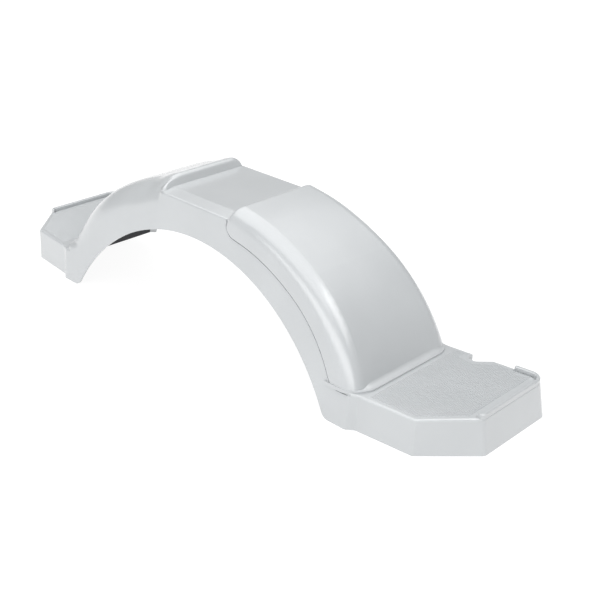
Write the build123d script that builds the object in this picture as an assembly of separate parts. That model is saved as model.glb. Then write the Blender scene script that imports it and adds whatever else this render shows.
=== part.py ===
from build123d import *
from math import acos, asin, cos, degrees, radians, sin, sqrt, tan
import os

os.makedirs("parts", exist_ok=True)

# A moulded trailer mudguard: an arched roof over the wheel with a raised
# panel on each slope, a flat tread on top, and an open-bottomed step box at
# each end. The right panel stands proud of the outer wall along a seam, and
# the left one is flush with it. X runs along the trailer, the outer side
# faces -Y, the trailer side +Y, and the lower rims stand at Z = 0. Millimetres.

# Overall sizes
step_length = 192.2  # roof's foot to end wall, which makes 1200 over both ends
step_flare = 25.0  # inner edge further out at the end wall than at the roof
wall = 4.0  # moulded wall

# Wheel opening in the outer wall
foot_width = 54.7  # outer wall left beside the opening, at the ground
arch_band = 63.0  # from the top of the opening up to the tread
foot_corner_radius = 18.0

# Lean of the two long sides, outer wall and trailer side
outer_lean = 6.94
inner_lean = 5.2
arch_width = 260.8  # between the two sides, at the ground

# Flat tread between the two panels
tread_height = 269.0
tread_half_length = 90.0
tread_band = 28.0  # slanting band along the tread's outer edge
tread_band_drop = 4.0
tread_edge_radius = 4.0
tread_hollow_radius = 16.0
tread_inner_radius = 5.0

# Roof curve in side view: a flatter crown that runs into a tighter haunch
panel_rise = 22.5  # crown above the tread
crown_offset = 33.7  # centre of the crown from mid length
crown_radius = 470.3
haunch_radius = 307.7
haunch_angle = 31.5  # from upright, where crown meets haunch
sheet_foot_height = 29.0  # lower edge of the roof sheet inside a step box

# Raised panels
panel_drop = 44.0  # side wall runs up to this far below a panel's skin
panel_proud = 2.2  # right panel's side in front of the outer wall
panel_depth = 49.0  # seam below the roof curve on the outer wall
panel_end_slope = 24.0  # lean of a panel's end over the tread
outer_shoulder_radius = 30.0
inner_shoulder_radius = 24.0
crest_radius = 10.0

# Hollow under the roof: shoulders cut straight, inside the round ones
outer_shoulder_cut = 24.0
inner_shoulder_cut = 14.0

# Seam around a panel
seam_top_radius = 24.0
seam_foot_radius = 26.0
seam_foot_drop = 3.0  # foot of the seam below the step's top
groove_width = 2.4
groove_depth = 1.8
rim_width = 2.2
rim_height = 1.0

# Flared hem at a panel's foot
hem_reach = 10.7  # in front of the roof's foot
hem_side = 4.5  # right hem, in from the outer wall's foot line
flush_hem_side = 10.0  # left hem, behind the outer wall
hem_setback = 1.0  # in from a step's inner edge
hem_land = 3.5  # flat border of the hem in front of its flare
hem_thickness = 3.0
hem_outer_radius = 45.0
hem_inner_radius = 38.0
hem_blend_radius = 13.0
hem_flare_height = 10.0

# Step boxes
step_height = 65.0
step_draft = 2.0
jog_setback = 4.8  # middle of the jog from foot to skirt, short of the roof's foot
jog_length = 14.0
jog_radius = 10.0
skirt_setback = 10.2
skirt_taper = 5.5  # degrees that the skirt closes in towards the end
skirt_corner_radius = 8.0
chamfer_length = 80.0  # slanting corner, along the trailer
chamfer_side = 104.5  # outer end of the end wall, in from the outer wall
end_lean = 8.5  # top of the end wall, in from its foot
end_corner_radius = 12.0
inner_corner_radius = 14.0  # at the foot
inner_corner_growth = 8.0  # more radius at the top
rim_radius = 4.0

# Lip along the end of a step
lip_height = 7.7
lip_setback = 0.6  # in from the step's edge
lip_thickness = 7.0
lip_return = 64.0  # how far it runs back along the inner edge
lip_lead = 4.0  # how far it starts round the outer end of the end wall
lip_end_radius = 3.0
lip_edge_cut = 1.5
lip_groove_width = 2.5
lip_groove_depth = 1.5

# Notch in the inner edge of a step: one upright side, one slanting side
notch_setback = 47.2  # from the roof's foot
notch_width = 39.0
notch_depth = 20.0
notch_radius = 8.0

# Turned-down edge on the trailer side
roof_flange = 34.0
tread_flange = 18.0
step_flange = 18.0
end_return = 30.0  # inner wall left standing next to the end wall
flange_corner_radius = 12.0

# Tools
beyond = 20.0  # how far a cutting tool runs past the part
overlap = 10.0  # how far two blocks run into each other before they are joined
far_out = 2000.0  # longer than the whole part

# Worked out from the above
outer_slope = tan(radians(outer_lean))
inner_slope = tan(radians(inner_lean))
crown_height = tread_height + panel_rise
crown_centre = Vector(crown_offset, crown_height - crown_radius)
haunch_shift = crown_radius - haunch_radius
haunch_centre = crown_centre + Vector(
    haunch_shift * sin(radians(haunch_angle)),
    haunch_shift * cos(radians(haunch_angle)),
)
roof_foot = haunch_centre.X + sqrt(haunch_radius**2 - (step_height - haunch_centre.Y) ** 2)
half_length = roof_foot + step_length
jog_middle = roof_foot - jog_setback
jog_near = jog_middle - jog_length / 2
jog_far = jog_middle + jog_length / 2
step_root = jog_middle - 60  # where a step box starts, hidden inside the arch
chamfer_start = half_length - chamfer_length
hem_front = roof_foot + hem_reach
opening_half = jog_middle - foot_width
opening_top = tread_height - arch_band
opening_radius = (opening_half**2 + opening_top**2) / (2 * opening_top)


def outer_side(z):
    """Y of the outer wall at height z."""
    return outer_slope * z


def inner_side(z):
    """Y of the trailer side at height z."""
    return arch_width - inner_slope * z


step_inner = inner_side(step_height)  # inner edge of a step at the roof
base_width = step_inner + step_flare  # outer wall at the ground to a step's inner corner


def end_x(z):
    """X of a panel's leaning end at height z."""
    return tread_half_length + (z - tread_height) * tan(radians(panel_end_slope))


def crown_point(angle, inset):
    """Point on the crown, angle in degrees from upright, in side view."""
    radius = crown_radius - inset
    return crown_centre + Vector(radius * sin(radians(angle)), radius * cos(radians(angle)))


def haunch_point(angle, inset):
    """Point on the haunch, angle in degrees from upright, in side view."""
    radius = haunch_radius - inset
    return haunch_centre + Vector(radius * sin(radians(angle)), radius * cos(radians(angle)))


def crown_angle_at(x, inset):
    """Angle of the crown's point at x, in degrees from upright."""
    return degrees(asin((x - crown_centre.X) / (crown_radius - inset)))


def haunch_angle_at(z, inset):
    """Angle of the haunch's point at height z, in degrees from upright."""
    return degrees(acos((z - haunch_centre.Y) / (haunch_radius - inset)))


def roof_curve(start_x, end_z, inset):
    """The roof curve from a point near the crown down to a height."""
    first = crown_angle_at(start_x, inset)
    last = haunch_angle_at(end_z, inset)
    crown = ThreePointArc(
        crown_point(first, inset),
        crown_point((first + haunch_angle) / 2, inset),
        crown_point(haunch_angle, inset),
    )
    haunch = ThreePointArc(
        haunch_point(haunch_angle, inset),
        haunch_point((haunch_angle + last) / 2, inset),
        haunch_point(last, inset),
    )
    return crown, haunch


def across(edges):
    """Closed side-view outline carried well past both long sides."""
    return extrude(Plane.XZ * make_face(edges), amount=far_out / 4, both=True)


def along(*points):
    """Polygon seen from the end, Y across and Z up, carried past both ends."""
    section = Plane.YZ * make_face(Polyline(*points, close=True))
    return extrude(section, amount=far_out, both=True)


def upright(points, low, high):
    """Plan polygon carried up from low to high."""
    face = Pos(0, 0, low) * make_face(Polyline(*points, close=True))
    return extrude(face, amount=high - low)


def both_ends(solid):
    """The solid and its mirror image at the other end."""
    return solid + mirror(solid, about=Plane.YZ)


def between_sides(block, proud, inset):
    """A block cut to the two leaning sides."""
    top = crown_height + beyond
    foot = -beyond
    return block & along(
        (outer_side(foot) - proud, foot),
        (outer_side(top) - proud, top),
        (inner_side(top) - inset, top),
        (inner_side(foot) - inset, foot),
    )


def lies_on(edge, gap):
    """Whether an edge lies where gap, a function of a point, is zero."""
    return all(abs(gap(edge @ share)) < 0.01 for share in (0.1, 0.5, 0.9))


def edges_on(block, gap):
    """The edges of a block along which gap is zero."""
    return [e for e in block.edges() if lies_on(e, gap)]


def roof_block(foot_z, proud, inset):
    """Solid under one slope of the roof curve, with sharp shoulders."""
    crown, haunch = roof_curve(crown_offset + 5, foot_z, inset)
    start = crown @ 0
    foot = haunch @ 1
    corner = Vector(start.X, foot.Y)
    block = across([crown, haunch, Line(foot, corner), Line(corner, start)])
    return between_sides(block, proud, inset)


def shoulder_edges(block, gap):
    """The curved edges of a roof block along which gap is zero."""
    return [e for e in block.edges().filter_by(GeomType.ELLIPSE) if lies_on(e, gap)]


def past_end(inset):
    """Everything on the tread's side of a panel's leaning end."""
    foot = -beyond
    top = crown_height + beyond
    return across(
        Polyline(
            (end_x(foot) + inset, foot),
            (end_x(top) + inset, top),
            (-far_out, top),
            (-far_out, foot),
            close=True,
        )
    )


def panel_block(proud):
    """A raised panel as a solid block, its shoulders and end rounded."""
    block = roof_block(sheet_foot_height, proud, 0)
    outer = shoulder_edges(block, lambda p: p.Y - outer_side(p.Z) + proud)
    block = fillet(outer, outer_shoulder_radius)
    inner = shoulder_edges(block, lambda p: p.Y - inner_side(p.Z))
    block = fillet(inner, inner_shoulder_radius) - past_end(0)
    ends = edges_on(block, lambda p: p.X - end_x(p.Z))
    raised = [e for e in ends if (e @ 0.5).Z > sheet_foot_height + 1]
    return fillet(raised, crest_radius)


def roof_hollow():
    """The space under a panel, one wall inside its skin."""
    block = roof_block(-1, -wall, wall)
    outer = shoulder_edges(block, lambda p: p.Y - outer_side(p.Z) - wall)
    block = chamfer(outer, outer_shoulder_cut)
    inner = shoulder_edges(block, lambda p: p.Y - inner_side(p.Z) + wall)
    block = chamfer(inner, inner_shoulder_cut)
    return block - past_end(wall)


def seam_prism(spread):
    """Side-view outline of a panel, grown by spread, carried across."""
    top = crown_height + beyond + overlap
    right = far_out / 2
    corner_x = end_x(crown_height - panel_depth)
    crown, haunch = roof_curve(corner_x, step_height - seam_foot_drop, panel_depth)
    corner = crown @ 0
    foot = haunch @ 1
    above = Vector(end_x(top), top)
    face = make_face(
        [
            crown,
            haunch,
            Line(foot, (right, foot.Y)),
            Line((right, foot.Y), (right, top)),
            Line((right, top), above),
            Line(above, corner),
        ]
    )
    for point, radius in ((corner, seam_top_radius), (foot, seam_foot_radius)):
        vertex = face.vertices().sort_by_distance(point)[0]
        face = fillet(vertex, radius)
    if spread > 0:
        face = offset(face, amount=spread, kind=Kind.ARC)
    return extrude(Plane.XZ * face, amount=far_out / 4, both=True)


def outer_slab(front, back):
    """Slab along the outer wall, from front (outwards) to back (inwards)."""
    top = crown_height + beyond
    return along(
        (-front, 0),
        (outer_side(top) - front, top),
        (outer_side(top) + back, top),
        (back, 0),
    )


def tread_bar(half, top, proud, inset):
    """The tread as a plain bar from the ground up to its top."""
    bar = across(Polyline((-half, 0), (half, 0), (half, top), (-half, top), close=True))
    return between_sides(bar, proud, inset)


def tread_block():
    """The flat tread with a slanting band along its outer edge."""
    top = tread_height
    low = top - tread_band_drop
    bar = tread_bar(tread_half_length + crest_radius, top, 0, 0)
    band_start = outer_side(low)
    band_end = outer_side(top) + tread_band
    fall = beyond * tread_band_drop / (band_end - band_start)
    bar -= along(
        (band_end, top),
        (band_end, top + beyond),
        (band_start - beyond, top + beyond),
        (band_start - beyond, low - fall),
    )
    outer = edges_on(bar, lambda p: abs(p.Z - low) + abs(p.Y - band_start))
    bar = fillet(outer, tread_edge_radius)
    inner = edges_on(bar, lambda p: abs(p.Z - top) + abs(p.Y - inner_side(p.Z)))
    return fillet(inner, tread_inner_radius)


def tread_hollow():
    """The space under the tread, one wall inside its skin."""
    top = tread_height - wall
    bar = tread_bar(tread_half_length + wall, top, -wall, wall)
    outer = edges_on(bar, lambda p: abs(p.Z - top) + abs(p.Y - outer_side(p.Z) - wall))
    return fillet(outer, tread_hollow_radius)


def inner_edge(x):
    """Y of a step's inner edge, flush with the roof, then flaring out."""
    share = max(0.0, (x - roof_foot) / step_length)
    return step_inner + share * step_flare


def step_outline(z, inset):
    """Plan of the right-hand step at height z, rounded at its corners."""
    rise = z / step_height
    end = half_length - end_lean * rise
    front = chamfer_start - step_draft * rise
    taper = tan(radians(skirt_taper))
    skirt = skirt_setback + step_draft * rise
    foot_corner = (jog_near, outer_side(z))
    skirt_corner = (jog_far, skirt + (jog_far - jog_middle) * taper)
    front_corner = (front, skirt + (front - jog_middle) * taper)
    end_corner = (end, chamfer_side)
    inner_corner = (end, inner_edge(end))
    outline = make_face(
        Polyline(
            (step_root, outer_side(z)),
            foot_corner,
            skirt_corner,
            front_corner,
            end_corner,
            inner_corner,
            (roof_foot, step_inner),
            (step_root, step_inner),
            close=True,
        )
    )
    rounded = [
        (foot_corner, jog_radius),
        (skirt_corner, jog_radius),
        (front_corner, skirt_corner_radius),
        (end_corner, end_corner_radius),
        (inner_corner, inner_corner_radius + inner_corner_growth * rise),
    ]
    for corner, radius in rounded:
        vertex = outline.vertices().sort_by_distance(Vector(*corner, 0))[0]
        outline = fillet(vertex, radius)
    if inset > 0:
        outline = offset(outline, amount=-inset, kind=Kind.INTERSECTION)
    return Pos(0, 0, z) * outline


def step_block(top, inset):
    """The right-hand step box as a block from the ground up to top."""
    return loft([step_outline(0.0, inset), step_outline(top, inset)], ruled=True)


def notch_block(spread, low):
    """Tool for the notch in a step's inner edge, grown by spread."""
    near = roof_foot + notch_setback
    far = near + notch_width
    bottom = inner_edge(near) - notch_depth
    face = make_face(
        Polyline(
            (near, inner_edge(near) + beyond),
            (near, bottom),
            (far - notch_depth, bottom),
            (far + beyond, inner_edge(near) + beyond),
            close=True,
        )
    )
    corners = [v for v in face.vertices() if v.Y < inner_edge(v.X)]
    face = fillet(corners, notch_radius)
    if spread > 0:
        face = offset(face, amount=spread, kind=Kind.ARC)
    return extrude(Pos(0, 0, low) * face, amount=step_height + beyond - low)


def sheet_room():
    """Everything on the wheel side of the roof sheet inside a step box."""
    first = haunch_angle_at(step_height, 0)
    last = haunch_angle_at(sheet_foot_height, 0)
    arc = ThreePointArc(
        haunch_point(first, 0),
        haunch_point((first + last) / 2, 0),
        haunch_point(last, 0),
    )
    top = arc @ 0
    foot = arc @ 1
    low_root = Vector(step_root, foot.Y)
    high_root = Vector(step_root, top.Y)
    return across([arc, Line(foot, low_root), Line(low_root, high_root), Line(high_root, top)])


def trailer_side_tool():
    """Right-hand half of the opening in the trailer side."""
    top = tread_height - tread_flange
    low = step_height - step_flange
    rise = sqrt((crown_radius - roof_flange) ** 2 - (top - crown_centre.Y) ** 2)
    crown, haunch = roof_curve(crown_centre.X + rise, low, roof_flange)
    inside = haunch @ 1
    outside = Vector(half_length - end_return, low)
    below = Vector(outside.X, -beyond)
    face = make_face(
        [
            Line((0, -beyond), (0, top)),
            Line((0, top), crown @ 0),
            crown,
            haunch,
            Line(inside, outside),
            Line(outside, below),
            Line(below, (0, -beyond)),
        ]
    )
    for point in (inside, outside):
        vertex = face.vertices().sort_by_distance(point)[0]
        face = fillet(vertex, flange_corner_radius)
    opening = extrude(Plane.XZ * face, amount=far_out / 4, both=True)
    above = crown_height + beyond
    behind = wall + 1
    return opening & along(
        (step_inner - behind, -beyond),
        (step_inner - behind, step_height),
        (inner_side(above) - behind, above),
        (base_width + beyond, above),
        (base_width + beyond, -beyond),
    )


def hem_outline(side, inset):
    """Plan of a hem, drawn in by inset on its three free sides."""
    front = hem_front - inset
    near = side + inset
    far = step_inner - hem_setback - inset
    outline = make_face(
        Polyline((step_root, near), (front, near), (front, far), (step_root, far), close=True)
    )
    corners = (((front, near), hem_outer_radius), ((front, far), hem_inner_radius))
    for corner, radius in corners:
        vertex = outline.vertices().sort_by_distance(Vector(*corner, 0))[0]
        outline = fillet(vertex, radius - inset)
    return outline


def hem_block(side):
    """Plinth at a panel's foot with a hollow flare up to the panel."""
    foot = step_height - seam_foot_drop
    top = step_height + hem_thickness
    drawn_in = hem_land + hem_blend_radius
    plinth = extrude(Pos(0, 0, foot) * hem_outline(side, 0), amount=top - foot)
    core_height = top + hem_blend_radius + 1 - foot
    core = extrude(Pos(0, 0, foot) * hem_outline(side, drawn_in), amount=core_height)
    block = plinth + core
    joint = [
        e for e in edges_on(block, lambda p: p.Z - top)
        if step_root + 1 < (e @ 0.5).X < hem_front - drawn_in + 1
        and side + hem_land < (e @ 0.5).Y < step_inner - hem_land
    ]
    block = fillet(joint, hem_blend_radius)
    front = hem_front + beyond
    plan = [(step_root, 0), (front, 0), (front, base_width), (step_root, base_width)]
    return block & upright(plan, foot, top + hem_flare_height)


def lip_band(outside, inside, low, high):
    """Band that follows the end of a step between two insets."""
    level = Pos(0, 0, low - step_height)
    outer = extrude(level * step_outline(step_height, outside), amount=high - low)
    inner = extrude(level * step_outline(step_height, inside), amount=high - low)
    back = half_length - lip_return
    start = chamfer_side - lip_lead
    keep = upright(
        [
            (back, base_width + beyond),
            (back, chamfer_side + beyond),
            (half_length - beyond, start),
            (half_length + beyond, start),
            (half_length + beyond, base_width + beyond),
        ],
        low,
        high,
    )
    return (outer - inner) & keep


def rounded_step():
    """A step box with its upper edge rounded all round."""
    step = step_block(step_height, 0)
    edge = [e for e in edges_on(step, lambda p: p.Z - step_height) if (e @ 0.5).X > step_root + 1]
    return fillet(edge, rim_radius)


def seamed_panel():
    """The right panel, proud of the outer wall down to its seam, with its hem."""
    return (panel_block(panel_proud) & seam_prism(0)) + hem_block(hem_side)


def flush_panel():
    """The left panel, built on the right: flush with the outer wall, with its hem."""
    low = step_height - seam_foot_drop
    plan = [(0, -beyond), (half_length, -beyond), (half_length, base_width), (0, base_width)]
    return (panel_block(0) & upright(plan, low, crown_height + beyond)) + hem_block(flush_hem_side)


def seam_rim():
    """Narrow raised rim along the seam on the outer wall."""
    band = seam_prism(groove_width + rim_width) - seam_prism(groove_width)
    band = band & outer_slab(rim_height, 2)
    right = jog_near - overlap / 2
    low = step_height - beyond
    high = tread_height - tread_band_drop - overlap
    keep = upright([(0, -beyond), (right, -beyond), (right, beyond * 3), (0, beyond * 3)], low, high)
    return band & keep


def end_lip():
    """Lip along the end of a step, with its upper edges rounded."""
    top = step_height + lip_height
    back = half_length - lip_return
    lip = lip_band(lip_setback, lip_thickness, step_height - rim_radius, top)
    end_edges = [e for e in edges_on(lip, lambda p: p.X - back) if e.bounding_box().size.Z > 1]
    lip = fillet(end_edges, lip_end_radius)
    edges = [
        e for e in edges_on(lip, lambda p: p.Z - top)
        if not lies_on(e, lambda p: p.Y - chamfer_side + lip_lead)
    ]
    return chamfer(edges, lip_edge_cut)


def end_lip_groove():
    """Groove along the foot of a lip, on the step's side."""
    far = lip_thickness + lip_groove_width
    return lip_band(lip_thickness, far, step_height - lip_groove_depth, step_height + 2)


def wheel_space():
    """Hollow under the roof on the right, which stops short of a step's walls."""
    walls = step_block(step_height, 0) - step_block(step_height, wall)
    near = step_root + overlap
    top = base_width + beyond
    plan = [(near, -beyond), (hem_front, -beyond), (hem_front, top), (near, top)]
    return roof_hollow() - (walls & upright(plan, 0, step_height))


def step_space():
    """Hollow of a step box, with the roof sheet and the notch left standing."""
    space = step_block(step_height - wall, wall) - sheet_room()
    return space - notch_block(wall, step_height - step_flange)


# Outer shape, still solid
side_wall = roof_block(0, 0, panel_drop) & across(
    Polyline((0, 0), (jog_near - 4, 0), (jog_near - 4, far_out), (0, far_out), close=True)
)
shell = both_ends(side_wall)
shell += tread_block()
shell += both_ends(rounded_step())
shell -= seam_prism(groove_width) & outer_slab(beyond, groove_depth)
shell += seamed_panel() + seam_rim()
shell += mirror(flush_panel(), about=Plane.YZ)
shell += both_ends(end_lip())
shell -= both_ends(end_lip_groove())

# Hollow from below
shell -= both_ends(wheel_space())
shell -= tread_hollow()
shell -= both_ends(step_space())

# Notches, open trailer side and wheel opening
shell -= both_ends(notch_block(0, -overlap))
shell -= both_ends(trailer_side_tool())
opening_middle = Pos(0, 0, opening_top - opening_radius)
shell -= opening_middle * Rot(90, 0, 0) * Cylinder(opening_radius, 160)
foot_edges = edges_on(shell, lambda p: abs(p.X) - opening_half)
shell = fillet(foot_edges, foot_corner_radius)

# Origin under the middle
mudguard = Pos(0, -base_width / 2, 0) * shell
mudguard.label = "mudguard"
export_step(mudguard, "parts/mudguard.step")
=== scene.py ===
import bmesh
import bpy
from math import acos, asin, atan2, cos, hypot, radians, sin, sqrt, tan
from mathutils import Matrix, Vector
from mathutils.bvhtree import BVHTree


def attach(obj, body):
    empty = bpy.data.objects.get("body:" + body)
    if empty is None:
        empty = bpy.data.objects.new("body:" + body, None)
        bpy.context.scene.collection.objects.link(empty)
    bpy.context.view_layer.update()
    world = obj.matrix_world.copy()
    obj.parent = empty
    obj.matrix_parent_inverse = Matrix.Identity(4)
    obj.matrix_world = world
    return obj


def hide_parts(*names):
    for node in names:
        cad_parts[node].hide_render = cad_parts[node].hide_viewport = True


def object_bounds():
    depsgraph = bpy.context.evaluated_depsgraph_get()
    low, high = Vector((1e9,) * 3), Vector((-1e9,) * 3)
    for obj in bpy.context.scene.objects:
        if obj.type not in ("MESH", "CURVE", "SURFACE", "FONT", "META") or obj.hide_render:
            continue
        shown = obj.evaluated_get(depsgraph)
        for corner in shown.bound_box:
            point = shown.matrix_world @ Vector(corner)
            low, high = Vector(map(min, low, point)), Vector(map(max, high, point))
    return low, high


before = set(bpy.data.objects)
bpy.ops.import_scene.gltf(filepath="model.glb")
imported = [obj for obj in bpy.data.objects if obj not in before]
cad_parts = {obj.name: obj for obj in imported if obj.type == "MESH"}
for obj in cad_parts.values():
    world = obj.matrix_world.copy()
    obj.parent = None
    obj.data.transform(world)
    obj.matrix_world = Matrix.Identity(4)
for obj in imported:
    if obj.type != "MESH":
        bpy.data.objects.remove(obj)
cad_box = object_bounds()
scene = bpy.context.scene
scene.view_settings.view_transform = "Standard"
MM = 0.001
WHITE = (1.0, 1.0, 1.0, 1.0)

# Camera: the photo's viewing angle
CAMERA_PLACE = (1.3280, -1.2157, 0.9408)
CAMERA_TURN = (-0.76812, 0.46180, -0.02247)  # yaw, pitch and roll, in radians
SENSOR_WIDTH, LENS = 36.0, 62.547  # in mm
FARTHEST_VIEW = 50.0


def place_camera():
    yaw, pitch, roll = CAMERA_TURN
    ahead = Vector((sin(yaw) * cos(pitch), cos(yaw) * cos(pitch), -sin(pitch)))
    right = Vector((cos(yaw), -sin(yaw), 0.0))
    down = ahead.cross(right)
    across = right * cos(roll) + down * sin(roll)
    below = down * cos(roll) - right * sin(roll)
    data = bpy.data.cameras.new("camera")
    data.sensor_fit = "HORIZONTAL"
    data.sensor_width = SENSOR_WIDTH
    data.lens = LENS
    data.clip_end = FARTHEST_VIEW
    camera = bpy.data.objects.new("camera", data)
    turn = Matrix((across, -below, -ahead)).transposed()
    camera.matrix_world = Matrix.Translation(CAMERA_PLACE) @ turn.to_4x4()
    scene.collection.objects.link(camera)
    scene.camera = camera


place_camera()

# Plain floor, soft lights and a weak white sky (lengths in m)
FLOOR_SIZE = 30.0
FLOOR_COLOUR = (0.15, 0.15, 0.15)
FLOOR_GLOW = 0.94
SKY_STRENGTH = 0.3
LIGHTS = (  # name, place, aim, width and height, power in W
    ("top_softbox", (-0.4, 0.0, 3.4), (-0.1, 0.0, 0.1), (6.0, 6.0), 178.0),
    ("front_softbox", (1.2, -3.0, 1.2), (0.4, 0.0, 0.1), (6.6, 1.5), 78.0),
    ("right_softbox", (2.4, 0.4, 2.9), (0.4, 0.0, 0.1), (2.0, 2.0), 32.0),
    ("back_softbox", (-2.6, 2.6, 0.7), (-0.1, 0.1, 0.2), (4.0, 0.9), 3.5),
)


def shader_of(material):
    return material.node_tree.nodes["Principled BSDF"]


def plain_material(name, colour, roughness):
    material = bpy.data.materials.new(name)
    material.use_nodes = True
    shader = shader_of(material)
    shader.inputs["Base Color"].default_value = (*colour, 1.0)
    shader.inputs["Roughness"].default_value = roughness
    return material


def area_light(name, place, aim, size, power):
    data = bpy.data.lights.new(name, "AREA")
    data.shape = "RECTANGLE"
    data.size, data.size_y = size
    data.energy = power
    lamp = bpy.data.objects.new(name, data)
    lamp.location = place
    lamp.rotation_euler = (Vector(aim) - Vector(place)).to_track_quat("-Z", "Y").to_euler()
    scene.collection.objects.link(lamp)


bpy.ops.mesh.primitive_plane_add(size=FLOOR_SIZE, location=(0, 0, 0))
floor = bpy.context.object
floor.name = "floor"
floor.data.materials.append(plain_material("floor", FLOOR_COLOUR, 1.0))
floor_shader = shader_of(floor.data.materials[0])
floor_shader.inputs["Emission Color"].default_value = WHITE
floor_shader.inputs["Emission Strength"].default_value = FLOOR_GLOW

for light in LIGHTS:
    area_light(*light)

world = scene.world or bpy.data.worlds.new("world")
scene.world = world
world.use_nodes = True
sky = world.node_tree.nodes["Background"]
sky.inputs["Color"].default_value = WHITE
sky.inputs["Strength"].default_value = SKY_STRENGTH

# Plastic, with faint clouds in its colour and a fine moulded grain
COAT_ROUGHNESS = 0.22
CLOUD_SCALE, CLOUD_DETAIL = 9.0, 3.0
CLOUD_LOW, CLOUD_HIGH = 0.35, 0.65
GRAIN_SCALE, GRAIN_DETAIL = 900.0, 2.0
GRAIN_STRENGTH, GRAIN_DEPTH = 0.12, 0.0002


def noise(tree, place, scale, detail):
    node = tree.nodes.new("ShaderNodeTexNoise")
    node.inputs["Scale"].default_value = scale
    node.inputs["Detail"].default_value = detail
    tree.links.new(place.outputs["Object"], node.inputs["Vector"])
    return node.outputs["Fac"]


def moulded_material(name, dark, light, roughness, gloss):
    material = plain_material(name, light, roughness)
    tree = material.node_tree
    shader = shader_of(material)
    shader.inputs["Specular IOR Level"].default_value = gloss
    shader.inputs["Coat Weight"].default_value = gloss
    shader.inputs["Coat Roughness"].default_value = COAT_ROUGHNESS
    place = tree.nodes.new("ShaderNodeTexCoord")
    clouds = noise(tree, place, CLOUD_SCALE, CLOUD_DETAIL)
    ramp = tree.nodes.new("ShaderNodeValToRGB")
    ends = ((CLOUD_LOW, dark), (CLOUD_HIGH, light))
    for element, (position, colour) in zip(ramp.color_ramp.elements, ends):
        element.position = position
        element.color = (*colour, 1.0)
    tree.links.new(clouds, ramp.inputs["Fac"])
    tree.links.new(ramp.outputs["Color"], shader.inputs["Base Color"])
    grain = noise(tree, place, GRAIN_SCALE, GRAIN_DETAIL)
    bump = tree.nodes.new("ShaderNodeBump")
    bump.inputs["Strength"].default_value = GRAIN_STRENGTH
    bump.inputs["Distance"].default_value = GRAIN_DEPTH
    tree.links.new(grain, bump.inputs["Height"])
    tree.links.new(bump.outputs["Normal"], shader.inputs["Normal"])
    return material


plastic = moulded_material(
    "moulded_plastic", (0.444, 0.462, 0.474), (0.466, 0.484, 0.496), 0.32, 1.0
)
# Painted shade: a near-black, dull copy of the plastic for the hollow under the shell
plastic_painted_shade = moulded_material(
    "moulded_plastic_inside", (0.03, 0.031, 0.034), (0.045, 0.046, 0.05), 0.6, 0.1
)

# Shapes: from here on lengths are in mm, and y starts at the outer wall's foot line
WALL_Y = cad_box[0][1]  # this one in m


def to_wall_frame(place):
    return Vector((place.x / MM, (place.y - WALL_Y) / MM, place.z / MM))


def from_wall_frame(point):
    return Vector((point.x * MM, point.y * MM + WALL_Y, point.z * MM))


def new_piece(name, mesh, materials):
    """A piece of the mudguard, made from a bmesh, which is freed."""
    data = bpy.data.meshes.new(name)
    mesh.to_mesh(data)
    mesh.free()
    for material in materials:
        data.materials.append(material)
    piece = bpy.data.objects.new(name, data)
    scene.collection.objects.link(piece)
    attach(piece, "root")
    return piece


# Left slope and tread: the outer shoulder is rounder than on the solid, the slope
# lies a little lower, and the tread's ends lie a little further left
CROWN = (33.7, -178.8, 470.3)  # roof arc: its centre's x from the middle and z, and radius
HAUNCH = (118.66, -40.16, 307.7)
HAUNCH_ANGLE = radians(31.5)  # where the crown's arc meets the haunch's
OUTER_LEAN = radians(6.94)
OLD_RADIUS, NEW_RADIUS = 30.0, 57.0
GROWTH = NEW_RADIUS - OLD_RADIUS
SHOULDER_ALONG, SHOULDER_UP = (90.0, 104.0), (68.0, 90.0)  # where the new radius fades in
SLOPE_DROP = 6.0
DROP_DEPTH, DROP_ALONG, DROP_UP = (45.0, 90.0), (100.0, 165.0), (68.0, 120.0)
TREAD_SLIDE = -8.0
SLIDE_ALONG, SLIDE_UP = (100.0, 160.0), (215.0, 236.0)

# Limits of what moves, with a little room round the fades
TREAD_ZONE_END, TREAD_ZONE_FOOT = 175.0, 205.0
SLOPE_ZONE_START, SLOPE_ZONE_FOOT, SLOPE_ZONE_DEPTH = 90.0, 60.0, 95.0
SHOULDER_ZONE_DEPTH = 75.0  # from the outer wall
LONGEST_EDGE = 12.0
SPLIT_ROUNDS = 6
PROBES = (0.0, 0.25, 0.5, 0.75, 1.0)  # shares of an edge's length

NORMAL_STEP = 0.05
FLATTENED = 0.05  # share of its volume below which a place keeps its normal


def smooth_step(value, low, high):
    share = min(1.0, max(0.0, (value - low) / (high - low)))
    return share * share * (3.0 - 2.0 * share)


def wall_gap(point):
    """Level distance of a point from the outer wall's plane."""
    return point.y - point.z * tan(OUTER_LEAN)


def roof_arc(x, z):
    """Centre and radius of the left slope's roof arc that covers a point."""
    if atan2(-x - CROWN[0], z - CROWN[1]) < HAUNCH_ANGLE:
        return CROWN
    return HAUNCH


def under_roof(point):
    """Direction from the roof arc's centre to a point, and its depth under the arc."""
    centre_x, centre_z, radius = roof_arc(point.x, point.z)
    radial = Vector((point.x + centre_x, 0.0, point.z - centre_z))
    return radial.normalized(), radius - radial.length


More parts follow.
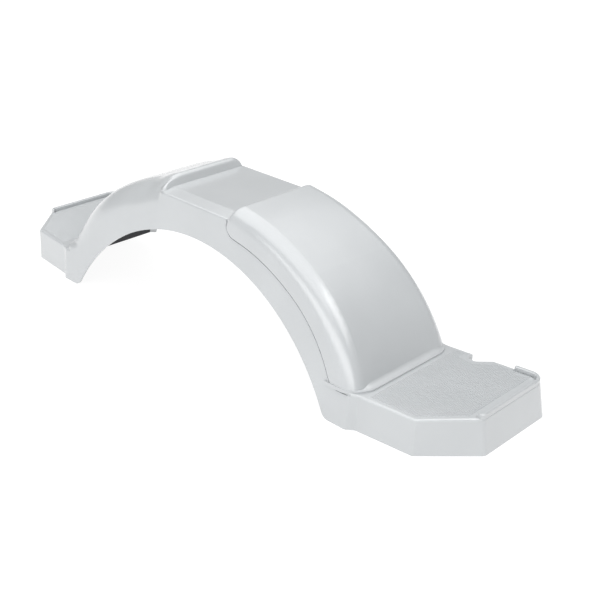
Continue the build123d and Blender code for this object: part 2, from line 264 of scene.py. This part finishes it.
def soften_shoulder(point):
    """Where a point of the left slope goes as its outer shoulder's radius grows."""
    radial, roof_depth = under_roof(point)
    outward = Vector((0.0, -cos(OUTER_LEAN), sin(OUTER_LEAN)))
    wall_depth = wall_gap(point) * cos(OUTER_LEAN)
    if roof_depth > 2 * NEW_RADIUS or wall_depth > 2 * NEW_RADIUS:
        return point
    slant = radial.dot(outward)
    side = sqrt(1.0 - slant * slant)
    up = (radial - outward * slant) / side
    corner = acos(slant)
    reach = GROWTH * side / (1.0 + slant)  # how far the new arc runs past the old one

    # from the old arc's centre to the point, along the wall's normal and across it
    out = OLD_RADIUS - wall_depth
    rise = ((OLD_RADIUS - roof_depth) - slant * out) / side
    angle = atan2(rise, out)
    inward = GROWTH / (1.0 + slant)
    centre = point - outward * out - up * rise - (radial + outward) * inward
    if rise <= 0.0:
        if rise <= -reach or out <= 0.0:
            return point
        new_angle = asin((rise + reach) / NEW_RADIUS)
        depth = OLD_RADIUS - out
    elif angle >= corner:
        along = out * sin(corner) - rise * cos(corner)  # past the roof's tangent point
        if along <= -reach:
            return point
        new_angle = corner - asin((along + reach) / NEW_RADIUS)
        depth = roof_depth
    else:
        spread = asin(reach / NEW_RADIUS)
        new_angle = spread + angle / corner * (corner - 2 * spread)
        depth = OLD_RADIUS - hypot(out, rise)
    new_radius = NEW_RADIUS - depth
    return centre + (outward * cos(new_angle) + up * sin(new_angle)) * new_radius


def settle_slope(point):
    """How far a point of the left slope sinks towards the wheel."""
    radial, roof_depth = under_roof(point)
    share = 1.0 - smooth_step(roof_depth, *DROP_DEPTH)
    share *= smooth_step(-point.x, *DROP_ALONG) * smooth_step(point.z, *DROP_UP)
    return radial * (-SLOPE_DROP * share)


def reshape(point):
    """Place of a point of the solid on the dressed shell."""
    moved = point
    share = smooth_step(-point.x, *SHOULDER_ALONG) * smooth_step(point.z, *SHOULDER_UP)
    if share > 0.0:
        moved = point.lerp(soften_shoulder(point), share) + settle_slope(point)
    slide = 1.0 - smooth_step(abs(point.x), *SLIDE_ALONG)
    slide *= smooth_step(point.z, *SLIDE_UP)
    return moved + Vector((TREAD_SLIDE * slide, 0.0, 0.0))


def reshaped_normal(point, normal):
    """Normal of the dressed shell at the place of a point of the solid."""
    steps = Matrix.Identity(3) * NORMAL_STEP
    columns = [(reshape(point + s) - reshape(point - s)) / (2 * NORMAL_STEP) for s in steps]
    jacobian = Matrix(columns).transposed()
    if abs(jacobian.determinant()) < FLATTENED:
        return normal
    return (jacobian.inverted().transposed() @ normal).normalized()


def in_moved_zone(point):
    """Whether a point lies where the left slope or the tread's ends move."""
    if abs(point.x) < TREAD_ZONE_END and point.z > TREAD_ZONE_FOOT:
        return True
    if point.x > -SLOPE_ZONE_START or point.z < SLOPE_ZONE_FOOT:
        return False
    centre_x, centre_z, radius = roof_arc(point.x, point.z)
    depth = radius - hypot(point.x + centre_x, point.z - centre_z)
    return depth < SLOPE_ZONE_DEPTH


def in_soft_zone(point):
    """Whether a point lies near the left slope's outer shoulder or over the tread."""
    by_shoulder = wall_gap(point) < SHOULDER_ZONE_DEPTH
    return in_moved_zone(point) and (point.x > -TREAD_ZONE_END or by_shoulder)


def split_long_edges(mesh):
    """Cuts the edges of the soft zone that are too long for its curves."""
    for _ in range(SPLIT_ROUNDS):
        cut = []
        for edge in mesh.edges:
            if edge.calc_length() <= LONGEST_EDGE * MM:
                continue
            start, end = (to_wall_frame(vert.co) for vert in edge.verts)
            if any(in_soft_zone(start.lerp(end, share)) for share in PROBES):
                cut.append(edge)
        if not cut:
            return
        bmesh.ops.subdivide_edges(mesh, edges=cut, cuts=1)
        wide = [face for face in mesh.faces if len(face.verts) > 3]
        bmesh.ops.triangulate(mesh, faces=wide)


# The hollow under the shell gets painted shade: a near-black copy of the plastic on the
# faces that see no sky
OUTER_SKIN = 3.2  # depth from the outer wall, less than the wall's thickness
RAY_START = 0.0002  # in m, off the face
GROOVE_REACH = 0.03  # in m
FACING_DOWN = -0.3
GRAZING = 0.02
SKY_FANS = (  # height, first and last turn of the rays, in degrees
    (30.0, -180, 0),
    (55.0, -180, 0),
    (75.0, -180, 180),
)
FAN_STEP = 20
DOWNWARD, OUTWARD = Vector((0, 0, -1)), Vector((0, -1, 0))


def sky_rays():
    """Directions that see the sky from any face outside, and from none in the hollow."""
    rays = []
    for height, first, last in SKY_FANS:
        level, rise = cos(radians(height)), sin(radians(height))
        for turn in range(first, last + 1, FAN_STEP):
            aim = (level * cos(radians(turn)), level * sin(radians(turn)), rise)
            rays.append(Vector(aim))
    return rays


SKY_RAYS = sky_rays()


def in_painted_shade(tree, place, normal):
    """Whether a face belongs to the hollow under the shell, which gets painted shade."""
    if wall_gap(to_wall_frame(place)) < OUTER_SKIN:
        return False
    start = place + normal * RAY_START
    if normal.z < FACING_DOWN:
        if tree.ray_cast(start, DOWNWARD, GROOVE_REACH)[0] is not None:
            return False
        return tree.ray_cast(start, OUTWARD)[0] is not None
    for ray in SKY_RAYS:
        if ray.dot(normal) > GRAZING and tree.ray_cast(start, ray)[0] is None:
            return False
    return True


def dressed_shell(source):
    """The shell as a mesh of its own, with the softer left shoulder."""
    base = source.data
    corners = [Vector(corner.vector) for corner in base.corner_normals]
    mesh = bmesh.new()
    mesh.from_mesh(base)
    kept = mesh.loops.layers.float_vector.new("solid_normal")
    loops = [loop for face in mesh.faces for loop in face.loops]
    for loop, corner in zip(loops, corners, strict=True):
        loop[kept] = corner
    bmesh.ops.remove_doubles(mesh, verts=mesh.verts, dist=1e-6)
    split_long_edges(mesh)
    mesh.normal_update()
    tree = BVHTree.FromBMesh(mesh)
    normals = []
    for face in mesh.faces:
        face.smooth = True
        # Faces of the hollow get the painted-shade material
        inside = in_painted_shade(tree, face.calc_center_median(), face.normal)
        face.material_index = 1 if inside else 0
        for loop in face.loops:
            point = to_wall_frame(loop.vert.co)
            normal = Vector(loop[kept]).normalized()
            if in_moved_zone(point):
                normal = reshaped_normal(point, normal)
            normals.append(normal)
    for vert in mesh.verts:
        point = to_wall_frame(vert.co)
        if in_moved_zone(point):
            vert.co = from_wall_frame(reshape(point))
    mesh.loops.layers.float_vector.remove(kept)
    piece = new_piece("mudguard_shell", mesh, (plastic, plastic_painted_shade))
    piece.data.normals_split_custom_set(normals)
    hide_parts("mudguard")


dressed_shell(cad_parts["mudguard"])

# Ribs on the steps, measured on the right step
STEP_TOP = 65.0
RIB_PITCH, RIB_BORDER = 3.2, 9.0
RIB_HALF_WIDTH, RIB_HEIGHT = 1.0, 0.8
RIB_PROFILE = (  # shares of the half width and of the height
    (-1.0, -0.25),
    (-0.75, 0.55),
    (-0.3, 1.0),
    (0.3, 1.0),
    (0.75, 0.55),
    (1.0, -0.25),
)
RIB_END_LENGTH, RIB_END_SHARE = 0.8, 0.5
HEM_FRONT, STEP_END, LIP_ROOM = 418.5, 591.5, 11.0
SKIRT_START = (403.0, 12.2)
CHAMFER_START = (518.0, 23.3)
CHAMFER_END = (591.5, 104.5)
ROOF_FOOT, STEP_LENGTH = 407.8, 192.2
STEP_INNER, STEP_FLARE = 254.9, 25.0
NOTCH_NEAR, NOTCH_FOOT_END, NOTCH_DEPTH = 455.0, 474.0, 20.0


def line_at(x, start, end):
    return start[1] + (x - start[0]) * (end[1] - start[1]) / (end[0] - start[0])


def inner_edge(x):
    return STEP_INNER + (x - ROOF_FOOT) / STEP_LENGTH * STEP_FLARE


CHAMFER_SLOPE = (CHAMFER_END[1] - CHAMFER_START[1]) / (CHAMFER_END[0] - CHAMFER_START[0])
CHAMFER_BORDER = RIB_BORDER * hypot(1.0, CHAMFER_SLOPE)
NOTCH_BORDER = (sqrt(2.0) - 1.0) * RIB_BORDER  # the notch's far side runs at 45 degrees
NOTCH_FLOOR = inner_edge(NOTCH_NEAR) - NOTCH_DEPTH - RIB_BORDER


def rib_span(x):
    """Lowest and highest y of the rib at x."""
    low = line_at(x, SKIRT_START, CHAMFER_START) + RIB_BORDER
    low = max(low, line_at(x, CHAMFER_START, CHAMFER_END) + CHAMFER_BORDER)
    high = inner_edge(x) - RIB_BORDER
    if x > NOTCH_NEAR - RIB_BORDER:
        past = max(0.0, x - NOTCH_FOOT_END) - NOTCH_BORDER
        high = min(high, NOTCH_FLOOR + max(0.0, past))
    return low, high


def add_rib(mesh, x, low, high, mirror):
    """One rounded rib along y, closed at both ends."""
    stations = (
        (low, RIB_END_SHARE),
        (low + RIB_END_LENGTH, 1.0),
        (high - RIB_END_LENGTH, 1.0),
        (high, RIB_END_SHARE),
    )
    rings = []
    for y, share in stations:
        ring = []
        for across, height in RIB_PROFILE:
            rise = height * RIB_HEIGHT * (share if height > 0 else 1.0)
            point = Vector(((x + across * RIB_HALF_WIDTH) * mirror, y, STEP_TOP + rise))
            ring.append(mesh.verts.new(from_wall_frame(point)))
        rings.append(ring)
    for first, second in zip(rings, rings[1:]):
        for i in range(len(RIB_PROFILE)):
            j = (i + 1) % len(RIB_PROFILE)
            mesh.faces.new((first[i], first[j], second[j], second[i]))
    mesh.faces.new(rings[0][::-1])
    mesh.faces.new(rings[-1])


def step_ribs(name, mirror):
    mesh = bmesh.new()
    x = HEM_FRONT + RIB_BORDER
    while x < STEP_END - LIP_ROOM - RIB_BORDER:
        low, high = rib_span(x)
        add_rib(mesh, x, low, high, mirror)
        x += RIB_PITCH
    bmesh.ops.recalc_face_normals(mesh, faces=mesh.faces)
    new_piece(name, mesh, (plastic,))


step_ribs("right_step_ribs", 1.0)
step_ribs("left_step_ribs", -1.0)
